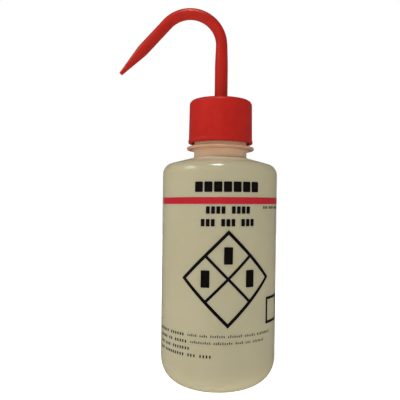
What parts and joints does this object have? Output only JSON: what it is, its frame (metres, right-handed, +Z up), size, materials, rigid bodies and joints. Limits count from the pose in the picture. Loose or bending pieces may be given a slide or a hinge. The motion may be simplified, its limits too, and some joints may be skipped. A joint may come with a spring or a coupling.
{
  "type": "wash bottle",
  "caption": "Squeezable translucent wash bottle with a threaded neck, a screw cap and a bent swivelling spout fed by a dip tube.",
  "frame": {"origin": "centre of the flat base, on the bottle's axis", "axes": "+Z up along the bottle's axis; the spout points along -X at rest; -Y is the printed front"},
  "size_m": [0.1063, 0.076, 0.2499],
  "materials": {
    "natural_polyethylene": "satin, hazy and translucent",
    "red_polypropylene": "satin",
    "red_polyethylene": "semi-gloss",
    "seal_foam": "matte",
    "tube_polyethylene": "satin, translucent",
    "print_black": "screen-printed ink",
    "print_red": "screen-printed ink"
  },
  "bodies": {
    "bottle": {"bottle": "natural_polyethylene"},
    "seal": {"sealing_washer": "seal_foam"},
    "cap": {"screw_cap": "red_polypropylene"},
    "spout": {"spout": "red_polyethylene", "dip_tube": "tube_polyethylene"}
  },
  "joints": [
    {"name": "closure_lift", "type": "slide", "parent": "bottle", "child": "seal", "axis": [0, 0, 1], "range_m": [0, 0.00635]},
    {"name": "cap_turn", "type": "hinge", "parent": "seal", "child": "cap", "pos_m": [0, 0, 0.1813], "axis": [0, 0, 1], "range_deg": [0, 540]},
    {"name": "spout_swivel", "type": "hinge", "parent": "seal", "child": "spout", "pos_m": [0, 0, 0.1813], "axis": [0, 0, 1], "continuous": true}
  ],
  "couplings": [
    {"joint": "closure_lift", "follows": "cap_turn", "m_per_rad": 0.00067322}
  ]
}
